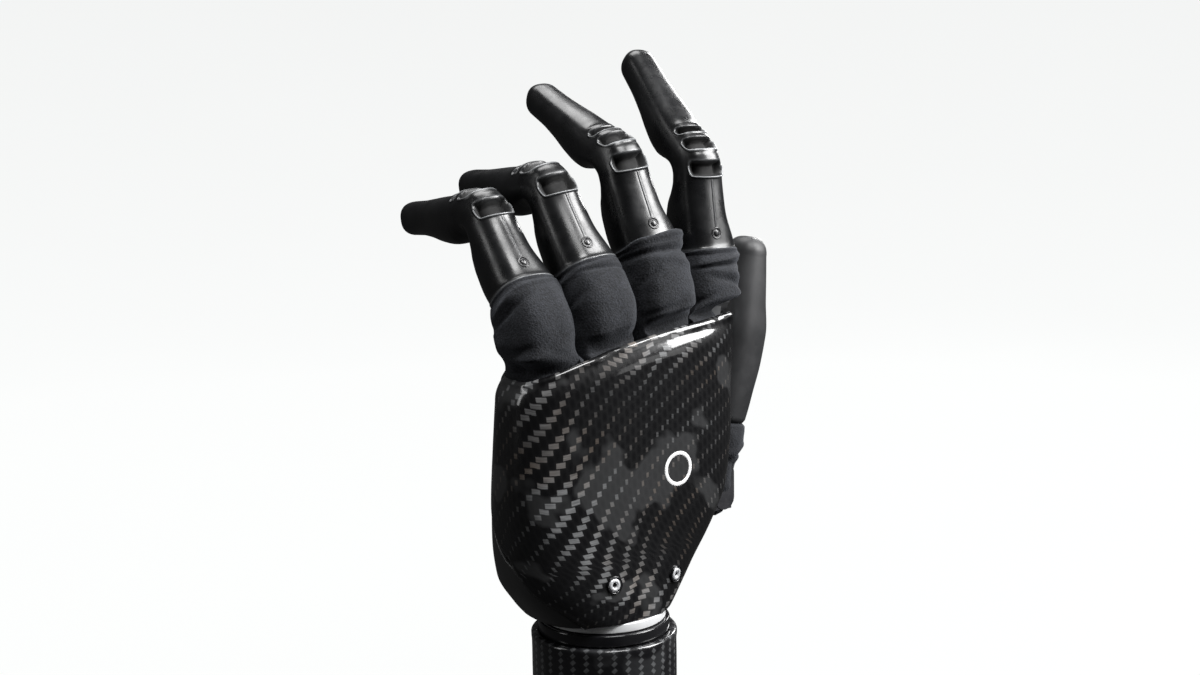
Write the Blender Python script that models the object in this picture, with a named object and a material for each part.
"""A powered prosthetic left hand on a short carbon wrist tube.

Metres. +Z runs from the wrist to the fingertips, -Y is the back of the hand, +Y the palm and +X the thumb side.
The origin is the centre of the flat lower end of the wrist. A finger is modelled straight in its own frame,
with Z along the bone and X across it, and its empties bend it into the resting pose.
"""

import math

import bmesh
import bpy
from mathutils import Matrix, Vector

GAP = 0.0003  # clearance kept between pieces that touch

# wrist
TUBE_RADIUS = 0.024
TUBE_WALL = 0.0025
TUBE_HEIGHT = 0.045
RING_RADIUS = 0.0218
RING_TOP = 0.049
RING_BORE = 0.0155
COUPLING_RADIUS = 0.0205
COUPLING_TOP = 0.0522
BUSHING_HEIGHT = 0.019
PLUG_RADIUS = 0.004

# palm: where its outline ends on each side at some heights
PALM_BASE = COUPLING_TOP + GAP
PALM_RADIAL = (
    (0.0500, 0.0208),
    (0.0560, 0.0250),
    (0.0660, 0.0325),
    (0.0780, 0.0415),
    (0.0900, 0.0475),
    (0.1100, 0.0500),
    (0.1500, 0.0500),
)
PALM_ULNAR = (
    (0.0500, -0.0240),
    (0.0560, -0.0290),
    (0.0660, -0.0350),
    (0.0800, -0.0370),
    (0.0950, -0.0373),
    (0.1250, -0.0355),
    (0.1500, -0.0335),
)
PALM_BACK = ((0.0500, -0.0200), (0.0600, -0.0195), (0.0800, -0.0180), (0.1500, -0.0172))
PALM_FRONT = ((0.0500, 0.0250), (0.0600, 0.0260), (0.0800, 0.0245), (0.1000, 0.0225), (0.1500, 0.0200))
PALM_POWERS = ((0.0500, 2.2), (0.0560, 2.5), (0.0850, 2.8), (0.1200, 2.8), (0.1500, 3.2))
SHELL_WALL = 0.0022
COVER_WALL = 0.0020
SHELL_TOP_ULNAR = (-0.034, 0.1325)
SHELL_TOP_RADIAL = (0.045, 0.1474)
SHELL_TOP_CROWN = 0.003
COVER_TOP_DROP = 0.004
SEAM_ANGLE = 1.2  # degrees of gap between the shell and the cover
RADIAL_SPLIT = ((0.0500, -2.0), (0.0820, -4.0), (0.1105, -9.0), (0.1474, -33.0))
ULNAR_SPLIT = ((0.0500, -183.0), (0.0700, -192.0), (0.0950, -208.0), (0.1325, -222.0))

# the shell's screws: angle round the palm in degrees, and height
SHELL_SCREWS = ((-98.0, 0.0655), (-62.0, 0.0640))
SCREW_LIFT = 0.0004

# fingers: knuckle position, then in degrees its sideways lean and the bends at rest, then the motor's sideways shift
FINGERS = {
    "index": ((0.0412, -0.0020, 0.1560), 1.0, 7.0, 36.0, -0.0050),
    "middle": ((0.0188, -0.0040, 0.1596), -6.0, 18.5, 44.5, -0.0025),
    "ring": ((-0.0032, -0.0020, 0.1542), -7.0, 28.5, 62.0, 0.0),
    "pinky": ((-0.0240, 0.0020, 0.1490), -4.0, 36.5, 57.0, 0.0),
}
PROXIMAL_LENGTH = 0.040
DISTAL_LENGTH = 0.045
TIP_RADIUS = 0.0058
KNUCKLE_RADIUS = 0.0083
PIN_RADIUS = 0.0015
BONE_HALF_DEPTH = 0.0040
BONE_LEFT = -0.0052
BONE_RIGHT = 0.0024
LAP = -0.0009  # where the two bones lie side by side at the middle joint
COUPLER_LEFT = 0.0028
COUPLER_RIGHT = 0.0050
COUPLER_START = (-0.0035, 0.0035)  # y and z of its pivot on the fork, from the knuckle
COUPLER_ARM = 0.0050  # from the middle joint to the coupler's pivot on the upper segment
COUPLER_ARM_ANGLE = 33.0  # of that pivot, from the upper segment's +Z towards the palm
COUPLER_HALF_WIDTH = 0.0012
FORK_INNER = 0.0056
FORK_OUTER = 0.0074
FORK_RADIUS = 0.0058
BOOT_INNER = 0.0087
BOOT_OUTER = 0.0107
BOOT_HALF_WIDTH = 0.0094

# thumb
THUMB_TURN = (0.0260, 0.0125)  # x and y of the axis on which the thumb swings round
THUMB_ARM = 0.0315  # from that axis out to the thumb's hinge
THUMB_HEIGHT = 0.0870
THUMB_LEAN = 11.5
THUMB_SKIN_START = 0.0185
THUMB_LENGTH = 0.0775
THUMB_TIP = 0.0064


def material(name, colour, roughness, metallic=0.0):
    look = bpy.data.materials.new(name)
    look.use_nodes = True
    shader = look.node_tree.nodes["Principled BSDF"]
    shader.inputs["Base Color"].default_value = (*colour, 1.0)
    shader.inputs["Roughness"].default_value = roughness
    shader.inputs["Metallic"].default_value = metallic
    look.diffuse_color = (*colour, 1.0)
    return look


def along(table, z):
    """The value at height z in a table of (height, value) pairs, joined by straight lines."""
    if z <= table[0][0]:
        return table[0][1]
    for (z0, v0), (z1, v1) in zip(table, table[1:]):
        if z <= z1:
            return v0 + (v1 - v0) * (z - z0) / (z1 - z0)
    return table[-1][1]


def add(name, bm, look, parent=None):
    """Make a bmesh into a named object, shaded smooth up to 35 degrees."""
    bmesh.ops.recalc_face_normals(bm, faces=bm.faces)
    mesh = bpy.data.meshes.new(name)
    bm.to_mesh(mesh)
    bm.free()
    mesh.shade_smooth()
    mesh.set_sharp_from_angle(angle=math.radians(35))
    return place(name, mesh, look, parent)


def place(name, mesh, look, parent=None):
    obj = bpy.data.objects.new(name, mesh)
    if look is not None and not mesh.materials:
        mesh.materials.append(look)
    obj.parent = parent
    bpy.context.collection.objects.link(obj)
    return obj


def empty(name, parent=None, location=(0, 0, 0), rotation=(0, 0, 0)):
    obj = bpy.data.objects.new(name, None)
    obj.empty_display_size = 0.01
    obj.location = location
    obj.rotation_euler = [math.radians(angle) for angle in rotation]
    obj.parent = parent
    bpy.context.collection.objects.link(obj)
    return obj


def loft(rings, cap=True):
    """A closed body through rings that hold the same number of points."""
    bm = bmesh.new()
    rows = [[bm.verts.new(point) for point in ring] for ring in rings]
    count = len(rows[0])
    for low, high in zip(rows, rows[1:]):
        for i in range(count):
            j = (i + 1) % count
            bm.faces.new((low[i], low[j], high[j], high[i]))
    if cap:
        bm.faces.new(reversed(rows[0]))
        bm.faces.new(rows[-1])
    return bm


def rounded(angle, half_width, half_depth, power):
    """The x and y of a superellipse at an angle in radians."""
    c = math.cos(angle)
    s = math.sin(angle)
    x = half_width * math.copysign(abs(c) ** (2 / power), c)
    y = half_depth * math.copysign(abs(s) ** (2 / power), s)
    return x, y


def section(z, half_width, back, front, power=2.5, count=20, x=0.0):
    """A level ring of a finger at z, from y = back to y = front."""
    middle = (back + front) / 2
    depth = (front - back) / 2
    ring = []
    for i in range(count):
        px, py = rounded(2 * math.pi * i / count, half_width, depth, power)
        ring.append((x + px, middle + py, z))
    return ring


def prism(outline, x0, x1):
    """An outline of (y, z) points stretched from x0 to x1."""
    return loft([[(x, y, z) for y, z in outline] for x in (x0, x1)])


def arc(y, z, radius, start, end, steps):
    """Points in the YZ plane on an arc, with angles in degrees from +Z towards +Y."""
    points = []
    for i in range(steps + 1):
        angle = math.radians(start + (end - start) * i / steps)
        points.append((y + radius * math.sin(angle), z + radius * math.cos(angle)))
    return points


def stadium(start, end, r0, r1, steps=8):
    """The outline of a bar with round ends of radius r0 at start and r1 at end, both (y, z)."""
    angle = math.degrees(math.atan2(end[0] - start[0], end[1] - start[1]))
    return arc(*end, r1, angle - 90, angle + 90, steps) + arc(*start, r0, angle + 90, angle + 270, steps)


def cylinder(radius, x0, x1, y=0.0, z=0.0, sides=16):
    """A cylinder along X."""
    return prism(arc(y, z, radius, 0, 360 - 360 / sides, sides - 1), x0, x1)


def turned(profile, sides=48):
    """A body turned about Z from a closed profile of (radius, z) points; a profile on the axis gets a flat cap."""
    if min(r for r, z in profile) > 0:
        bm = bmesh.new()
        rows = []
        for i in range(sides):
            a = 2 * math.pi * i / sides
            rows.append([bm.verts.new((r * math.cos(a), r * math.sin(a), z)) for r, z in profile])
        for i in range(sides):
            row = rows[i]
            after = rows[(i + 1) % sides]
            for k in range(len(profile)):
                m = (k + 1) % len(profile)
                bm.faces.new((row[k], after[k], after[m], row[m]))
        return bm
    turns = [2 * math.pi * i / sides for i in range(sides)]
    rings = []
    for r, z in profile:
        if r > 0:
            rings.append([(r * math.cos(a), r * math.sin(a), z) for a in turns])
    return loft(rings)


def cutter(name, bm, parent=None):
    obj = add(name, bm, None, parent)
    obj.hide_render = True
    obj.display_type = "WIRE"
    return obj


def cut(obj, tool, operation="DIFFERENCE"):
    change = obj.modifiers.new(tool.name, "BOOLEAN")
    change.operation = operation
    change.solver = "EXACT"
    change.object = tool


def box(x0, x1, y0, y1, z0, z1):
    bm = bmesh.new()
    bmesh.ops.create_cube(bm, size=1.0)
    size = Vector((x1 - x0, y1 - y0, z1 - z0))
    middle = Vector((x0 + x1, y0 + y1, z0 + z1)) / 2
    bmesh.ops.transform(bm, matrix=Matrix.Translation(middle) @ Matrix.Diagonal((*size, 1)), verts=bm.verts)
    return bm


for old in list(bpy.data.objects):
    bpy.data.objects.remove(old, do_unlink=True)

CARBON = material("carbon", (0.035, 0.036, 0.040), 0.18)
BLACK_GLOSS = material("black_gloss", (0.010, 0.010, 0.012), 0.15)
SKIN = material("finger_skin", (0.016, 0.016, 0.018), 0.30)
THUMB_RUBBER = material("thumb_rubber", (0.040, 0.041, 0.045), 0.65)
FABRIC = material("boot_fabric", (0.022, 0.022, 0.024), 0.90)
PLASTIC = material("palm_plastic", (0.020, 0.020, 0.022), 0.55)
ALUMINIUM = material("aluminium", (0.78, 0.79, 0.80), 0.28, 1.0)
STEEL = material("steel", (0.55, 0.55, 0.56), 0.30, 1.0)
BOARD = material("board", (0.02, 0.12, 0.06), 0.50)


def build_wrist():
    inner = TUBE_RADIUS - TUBE_WALL
    tube = [(TUBE_RADIUS, 0), (TUBE_RADIUS, TUBE_HEIGHT), (inner, TUBE_HEIGHT), (inner, 0)]
    add("wrist_tube", turned(tube), CARBON)
    seat = inner - GAP
    low = BUSHING_HEIGHT + GAP
    lip = TUBE_HEIGHT + GAP
    ring = [
        (seat, low),
        (seat, lip),
        (RING_RADIUS, lip),
        (RING_RADIUS, RING_TOP),
        (RING_BORE, RING_TOP),
        (RING_BORE, low),
    ]
    add("lamination_ring", turned(ring), BLACK_GLOSS)
    # the bushing is solid below and has a blind hole for the plug
    bushing = turned([(0, 0), (seat, 0), (seat, BUSHING_HEIGHT), (0, BUSHING_HEIGHT)])
    bushing = add("coaxial_bushing", bushing, PLASTIC)
    wide = PLUG_RADIUS + 0.0005
    hole = turned([(0, 0.008), (wide, 0.008), (wide, 0.025), (0, 0.025)], 24)
    cut(bushing, cutter("bushing_hole", hole))


def build_coupling(hand):
    hub = RING_BORE - 0.0004
    low = BUSHING_HEIGHT + 2 * GAP
    bore = PLUG_RADIUS + GAP
    profile = [
        (hub, low),
        (hub, RING_TOP + GAP),
        (COUPLING_RADIUS, RING_TOP + GAP),
        (COUPLING_RADIUS, COUPLING_TOP),
        (bore, COUPLING_TOP),
        (bore, low),
    ]
    add("coupling_ring", turned(profile), ALUMINIUM, hand)
    top = COUPLING_TOP - 0.001
    plug = [(0, 0.010), (PLUG_RADIUS * 0.6, 0.010), (PLUG_RADIUS, 0.012), (PLUG_RADIUS, top), (0, top)]
    add("coaxial_plug", turned(plug, 24), STEEL, hand)


def palm_point(angle, z, inset=0.0):
    """A point on the palm's outline at an angle in degrees; 0 is the thumb side and -90 the back of the hand."""
    left = along(PALM_ULNAR, z)
    right = along(PALM_RADIAL, z)
    depth = along(PALM_FRONT, z) if math.sin(math.radians(angle)) > 0 else -along(PALM_BACK, z)
    x, y = rounded(math.radians(angle), (right - left) / 2 - inset, depth - inset, along(PALM_POWERS, z))
    return x + (left + right) / 2, y


def top_edge(x):
    (x0, z0), (x1, z1) = SHELL_TOP_ULNAR, SHELL_TOP_RADIAL
    t = min(1.0, max(0.0, (x - x0) / (x1 - x0)))
    return z0 + (z1 - z0) * t + SHELL_TOP_CROWN * math.sin(math.pi * t)


def palm_panel(start, end, columns, rows, wall, top_drop):
    """A thin curved panel of the palm between two split lines, given as tables of angles."""
    rings = []
    for r in range(rows + 1):
        t = r / rows
        outer = []
        inner = []
        for c in range(columns + 1):
            u = c / columns
            z = PALM_BASE
            for _ in range(4):  # the top edge depends on x, and x on the height
                angle = along(start, z) + (along(end, z) - along(start, z)) * u
                x, y = palm_point(angle, z)
                z = PALM_BASE + (top_edge(x) - top_drop - PALM_BASE) * t
            angle = along(start, z) + (along(end, z) - along(start, z)) * u
            outer.append((*palm_point(angle, z), z))
            inner.append((*palm_point(angle, z, wall), z))
        rings.append(outer + inner[::-1])
    return loft(rings)


def build_palm(hand):
    shell = palm_panel(ULNAR_SPLIT, RADIAL_SPLIT, 26, 9, SHELL_WALL, 0.0)
    add("dorsal_shell", shell, CARBON, hand)
    radial = tuple((z, angle + SEAM_ANGLE) for z, angle in RADIAL_SPLIT)
    ulnar = tuple((z, angle + 360 - SEAM_ANGLE) for z, angle in ULNAR_SPLIT)
    panel = palm_panel(radial, ulnar, 20, 9, COVER_WALL, COVER_TOP_DROP)
    cover = add("palm_cover", panel, PLASTIC, hand)
    window = box(THUMB_TURN[0] - 0.0075, 0.0600, 0.0040, 0.0400, 0.0725, 0.0815)
    cut(cover, cutter("thumb_window", window, hand))
    for number, (angle, z) in enumerate(SHELL_SCREWS, start=1):
        build_shell_screw(f"shell_screw_{number}", angle, z, hand)


def build_shell_screw(name, angle, z, hand):
    """A screw head on the shell, with a socket in it, standing on the outline at an angle."""
    here = Vector((*palm_point(angle, z), z))
    ahead = Vector((*palm_point(angle + 2, z), z))
    outward = (ahead - here).cross(Vector((0, 0, 1))).normalized()
    turn = outward.to_track_quat("Z", "Y").to_matrix().to_4x4()
    head = turned([(0, 0), (0.0024, 0), (0.0024, 0.0012), (0.0020, 0.0016), (0, 0.0016)], 20)
    bmesh.ops.transform(head, matrix=Matrix.Translation(here + outward * SCREW_LIFT) @ turn, verts=head.verts)
    socket = turned([(0, 0.0007), (0.0011, 0.0007), (0.0011, 0.0025), (0, 0.0025)], 6)
    bmesh.ops.transform(socket, matrix=Matrix.Translation(here + outward * SCREW_LIFT) @ turn, verts=socket.verts)
    screw = add(name, head, STEEL, hand)
    cut(screw, cutter(name + "_socket", socket, hand))


def build_chassis(hand, roots):
    """A plate in the palm with a foot on the wrist, a fork at every knuckle and the thumb's bearing."""
    outline = [
        (-0.016, 0.062),
        (0.018, 0.062),
        (0.0210, 0.070),
        (0.0210, 0.0985),
        (0.038, 0.104),
        (0.044, 0.137),
        (-0.025, 0.127),
        (-0.029, 0.090),
    ]
    plate = loft([[(x, y, z) for x, z in outline] for y in (0.0042, 0.0070)])
    chassis = add("palm_chassis", plate, ALUMINIUM, hand)
    foot = turned([(0, PALM_BASE), (0.0150, PALM_BASE), (0.0150, 0.0640), (0, 0.0640)], 32)
    cut(chassis, cutter("chassis_foot", foot, hand), "UNION")
    for name, root in roots.items():
        stem = prism(stadium((0.004, -0.026), (0, -0.004), 0.0056, 0.0050), -0.0045, 0.0045)
        cut(chassis, cutter(name + "_stem", stem, root), "UNION")
        fork = prism(stadium((0, -0.0038), (0, 0), FORK_RADIUS, FORK_RADIUS), -FORK_OUTER, FORK_OUTER)
        cut(chassis, cutter(name + "_fork", fork, root), "UNION")
    for name, root in roots.items():
        slot = prism(stadium((0, -0.0005), (0, 0.02), 0.0068, 0.012), -FORK_INNER, FORK_INNER)
        cut(chassis, cutter(name + "_slot", slot, root))
        cut(chassis, cutter(name + "_bore", cylinder(PIN_RADIUS + GAP, -0.012, 0.012), root))
    x, y = THUMB_TURN
    for k, (low, high) in enumerate(((0.0710, 0.0731), (0.0955, 0.1000))):
        lug = turned([(0, low), (0.0042, low), (0.0042, high), (0, high)], 20)
        bmesh.ops.translate(lug, vec=(x, y, 0), verts=lug.verts)
        cut(chassis, cutter(f"thumb_lug_{k}", lug, hand), "UNION")
        web = box(x - 0.016, x + 0.002, 0.0045, 0.0110, low + 0.0002, high - 0.0002)
        cut(chassis, cutter(f"thumb_web_{k}", web, hand), "UNION")
    add("control_board", box(-0.020, 0.008, 0.0105, 0.0121, 0.072, 0.112), BOARD, hand)


def proximal_skin_mesh():
    """The sleeve of the lower segment, from above the knuckle to the round recess of the middle joint."""
    rows = (
        (0.0112, 0.0080, -0.0086, 0.0090),
        (0.0125, 0.0085, -0.0091, 0.0102),
        (0.0180, 0.0087, -0.0093, 0.0115),
        (0.0240, 0.0085, -0.0092, 0.0112),
        (0.0290, 0.0083, -0.0090, 0.0092),
        (0.0325, 0.0081, -0.0088, 0.0064),
        (0.0365, 0.0080, -0.0086, 0.0040),
    )
    return loft([section(z, w, back, front) for z, w, back, front in rows])


def distal_skin_mesh():
    """The upper segment: a barrel about the middle joint, a pad, and a round tip."""
    r = KNUCKLE_RADIUS
    rows = []
    for angle in (10, 30, 52, 74):
        a = math.radians(angle)
        rows.append((-r * math.cos(a), 0.0076, -r * math.sin(a), r * math.sin(a), 4.0))
    rows += [
        (0.0000, 0.0077, -r, r * 0.98, 3.6),
        (0.0030, 0.0077, -0.0082, 0.0070, 3.2),
        (0.0060, 0.0077, -0.0080, 0.0054, 3.0),
        (0.0085, 0.0077, -0.0078, 0.0060, 2.8),
        (0.0115, 0.0077, -0.0076, 0.0080, 2.6),
        (0.0160, 0.0076, -0.0073, 0.0090, 2.5),
        (0.0220, 0.0072, -0.0070, 0.0084, 2.4),
        (0.0300, 0.0065, -0.0064, 0.0068, 2.3),
        (0.0380, 0.0060, -0.0059, 0.0059, 2.2),
    ]
    for angle in (0, 25, 50, 72, 86):
        a = math.radians(angle)
        reach = TIP_RADIUS * math.cos(a)
        rows.append((DISTAL_LENGTH + TIP_RADIUS * math.sin(a), reach, -reach, reach, 2.1))
    return loft([section(z, w, back, front, power) for z, w, back, front, power in rows])


def build_finger(name, knuckle, lean, bend, middle_bend, shift, hand):
    root = empty(name + "_root", hand, knuckle, (0, lean, 0))
    proximal = empty(name + "_proximal", root, (0, 0, 0), (-bend, 0, 0))
    distal = empty(name + "_distal", proximal, (0, 0, PROXIMAL_LENGTH), (-middle_bend, 0, 0))
    middle = (0, PROXIMAL_LENGTH)

    # lower segment
    outline = stadium((0, 0), middle, 0.0046, BONE_HALF_DEPTH)
    bone = add(name + "_proximal_bone", prism(outline, BONE_LEFT, BONE_RIGHT), ALUMINIUM, proximal)
    side = PROXIMAL_LENGTH - 0.0085
    cut(bone, cutter(name + "_lap", box(LAP - GAP, 0.01, -0.01, 0.01, side, side + 0.02), proximal))
    for where, z in (("knuckle", 0.0), ("middle", PROXIMAL_LENGTH)):
        hole = cylinder(PIN_RADIUS + GAP, -0.012, 0.012, 0, z)
        cut(bone, cutter(f"{name}_{where}_hole", hole, proximal))
    skin = add(name + "_proximal_skin", proximal_skin_mesh(), SKIN, proximal)
    channel = box(-0.0056, 0.0056, -0.0056, 0.0070, 0.005, 0.042)
    cut(skin, cutter(name + "_channel", channel, proximal))
    recess = cylinder(KNUCKLE_RADIUS + 0.0004, -0.012, 0.012, 0, PROXIMAL_LENGTH, 24)
    cut(skin, cutter(name + "_recess", recess, proximal))
    cover = turned([(0, 0), (0.0021, 0), (0.0021, 0.0006), (0.0015, 0.0009), (0, 0.0009)], 16)
    turn = Matrix.Translation((0, -0.0096, 0.0165)) @ Matrix.Rotation(math.radians(90), 4, "X")
    bmesh.ops.transform(cover, matrix=turn, verts=cover.verts)
    add(name + "_screw_cover", cover, BLACK_GLOSS, proximal)
    pin = cylinder(PIN_RADIUS, -FORK_OUTER - 0.0004, FORK_OUTER + 0.0004)
    add(name + "_knuckle_pin", pin, STEEL, root)
    pin = cylinder(PIN_RADIUS, BONE_LEFT, BONE_RIGHT, 0, PROXIMAL_LENGTH)
    add(name + "_finger_pin", pin, STEEL, proximal)

    # upper segment
    outline = stadium((0, 0), (0, 0.0280), BONE_HALF_DEPTH, 0.0028)
    bone = add(name + "_distal_bone", prism(outline, LAP, BONE_RIGHT), ALUMINIUM, distal)
    cut(bone, cutter(name + "_distal_hole", cylinder(PIN_RADIUS + GAP, -0.01, 0.01), distal))
    skin = add(name + "_distal_skin", distal_skin_mesh(), SKIN, distal)
    hollow = arc(0, 0, 0.0068, 0, -150, 10)
    hollow += [(-0.0080, -0.0130), (0.0160, -0.0130), (0.0160, 0.0060), (0.0050, 0.0088)]
    cut(skin, cutter(name + "_hollow", prism(hollow, -0.0057, 0.0057), distal))
    pocket = box(LAP - 0.0004, BONE_RIGHT + 0.0004, -0.0047, 0.0047, 0.0, 0.0325)
    cut(skin, cutter(name + "_pocket", pocket, distal))

    # the coupler runs from the back of the knuckle across to the palm side of the middle joint
    fold = math.radians(COUPLER_ARM_ANGLE + middle_bend)
    end = Vector((0, COUPLER_ARM * math.sin(fold), PROXIMAL_LENGTH + COUPLER_ARM * math.cos(fold)))
    end.rotate(Matrix.Rotation(math.radians(-bend), 3, "X"))
    outline = stadium(COUPLER_START, (end.y, end.z), COUPLER_HALF_WIDTH, COUPLER_HALF_WIDTH, 6)
    add(name + "_coupler", prism(outline, COUPLER_LEFT, COUPLER_RIGHT), STEEL, root)

    # fabric boot over the back of the knuckle
    hood = arc(0, 0, BOOT_OUTER, -34, -132, 10) + arc(0, 0, BOOT_INNER, -132, -34, 10)
    add(name + "_knuckle_boot", prism(hood, -BOOT_HALF_WIDTH, BOOT_HALF_WIDTH), FABRIC, root)

    # geared motor in the palm
    profile = [
        (0, -0.066),
        (0.0050, -0.066),
        (0.0050, -0.0335),
        (0.0025, -0.0335),
        (0.0025, -0.0315),
        (0, -0.0315),
    ]
    drive = turned(profile, 20)
    bmesh.ops.translate(drive, vec=(shift, -0.0034, 0), verts=drive.verts)
    add(name + "_drive", drive, STEEL, root)
    return root


def turn_sideways(bm, offset):
    """Turn a body made along X to lie along Y, and shift it along X."""
    bmesh.ops.rotate(bm, matrix=Matrix.Rotation(math.radians(90), 3, "Z"), verts=bm.verts)
    bmesh.ops.translate(bm, vec=(offset, 0, 0), verts=bm.verts)
    return bm


def thumb_skin_mesh():
    rows = [
        (THUMB_SKIN_START, 0.0080, -0.0068, 0.0068),
        (THUMB_SKIN_START + 0.0015, 0.0086, -0.0075, 0.0075),
        (0.0300, 0.0092, -0.0092, 0.0080),
        (0.0400, 0.0095, -0.0108, 0.0076),
        (0.0500, 0.0096, -0.0112, 0.0078),
        (0.0620, 0.0088, -0.0090, 0.0082),
    ]
    for angle in (0, 25, 50, 72, 86):
        a = math.radians(angle)
        reach = math.cos(a)
        top = THUMB_LENGTH + THUMB_TIP * math.sin(a)
        rows.append((top, 0.0074 * reach, -THUMB_TIP * reach, THUMB_TIP * reach))
    return loft([section(z, w, back, front, 2.3) for z, w, back, front in rows])


def build_thumb(hand):
    x, y = THUMB_TURN
    base = empty("thumb_turn", hand, (x, y, THUMB_HEIGHT))
    arm = THUMB_ARM
    # bracket: a hub on the turning axis and an arm out to the thumb's hinge
    hub = turned([(0, -0.0136), (0.0055, -0.0136), (0.0055, 0.0080), (0, 0.0080)], 24)
    bracket = add("thumb_base", hub, ALUMINIUM, base)
    bar = box(0.002, arm + 0.003, -0.0060, 0.0060, -0.0130, -0.0070)
    cut(bracket, cutter("thumb_arm", bar, base), "UNION")
    for side in (-1, 1):
        ear = prism(stadium((0, -0.009), (0, 0), 0.0042, 0.0042), side * 0.0044, side * 0.0062)
        cut(bracket, cutter(f"thumb_ear_{side}", turn_sideways(ear, arm), base), "UNION")
    hole = cylinder(PIN_RADIUS + GAP, -0.02, 0.02)
    cut(bracket, cutter("thumb_hole", turn_sideways(hole, arm), base))
    add("thumb_pin", turn_sideways(cylinder(PIN_RADIUS, -0.0066, 0.0066), arm), STEEL, base)

    # the thumb itself, on its hinge
    hinge = empty("thumb_hinge", base, (arm, 0, 0), (THUMB_LEAN, 0, 90))
    bone = prism(stadium((0, 0), (0, 0.0215), 0.0030, 0.0030), -0.0040, 0.0040)
    bone = add("thumb_bone", bone, ALUMINIUM, hinge)
    cut(bone, cutter("thumb_bone_hole", cylinder(PIN_RADIUS + GAP, -0.01, 0.01), hinge))
    folds = (
        (0.0078, 0.0068, -0.0056, 0.0056),
        (0.0098, 0.0080, -0.0068, 0.0064),
        (0.0181, 0.0082, -0.0076, 0.0068),
    )
    sleeve = loft([section(z, w, back, front) for z, w, back, front in folds])
    boot = add("thumb_boot", sleeve, FABRIC, hinge)
    cut(boot, cutter("thumb_boot_hole", box(-0.0044, 0.0044, -0.0034, 0.0034, 0.0, 0.0300), hinge))
    drive = turned([(0, 0.0260), (0.0048, 0.0260), (0.0048, 0.0520), (0, 0.0520)], 20)
    add("thumb_drive", drive, STEEL, hinge)
    skin = add("thumb_skin", thumb_skin_mesh(), THUMB_RUBBER, hinge)
    cut(skin, cutter("thumb_pocket", box(-0.0044, 0.0044, -0.0046, 0.0046, 0.010, 0.0260), hinge))
    well = turned([(0, 0.0250), (0.0052, 0.0250), (0.0052, 0.0525), (0, 0.0525)], 20)
    cut(skin, cutter("thumb_well", well, hinge))
    motor = cylinder(0.0050, -0.008, 0.018, -0.0050, 0.0740, 20)
    add("thumb_rotation_drive", motor, STEEL, hand)


def main():
    hand = empty("hand_turn", None, (0, 0, 0))
    build_wrist()
    build_coupling(hand)
    build_palm(hand)
    roots = {}
    for name, settings in FINGERS.items():
        roots[name] = build_finger(name, *settings, hand)
    build_chassis(hand, roots)
    build_thumb(hand)


main()
